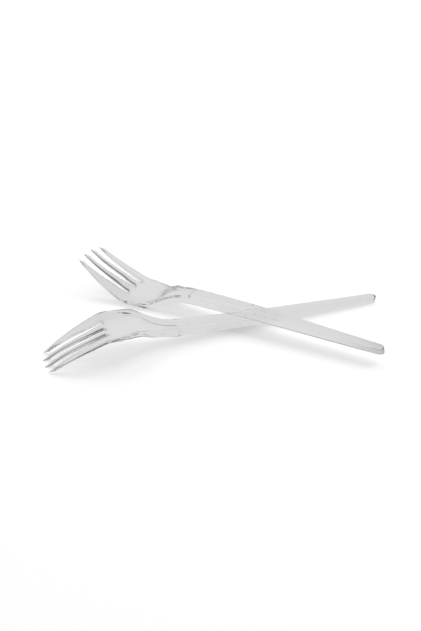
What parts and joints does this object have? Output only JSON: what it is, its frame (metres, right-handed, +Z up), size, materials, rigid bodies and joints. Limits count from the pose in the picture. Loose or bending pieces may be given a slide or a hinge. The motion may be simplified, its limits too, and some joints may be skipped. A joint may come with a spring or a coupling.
{
  "type": "clear plastic fork pair",
  "caption": "Clear moulded plastic table forks lying crossed, one face down and one face up, each with pointed tines, a dished head and a slim tapering channel handle.",
  "frame": {"origin": "middle of the pair's bounding box, on the table they lie on", "axes": "+X along the pair from the tines to the handle ends, +Y away from the viewer, +Z up"},
  "size_m": [0.1752, 0.1056, 0.0188],
  "materials": {
    "clear_plastic": "clear, glossy, as moulded"
  },
  "bodies": {
    "root": {"lower_fork": "clear_plastic", "upper_fork": "clear_plastic"}
  },
  "joints": []
}
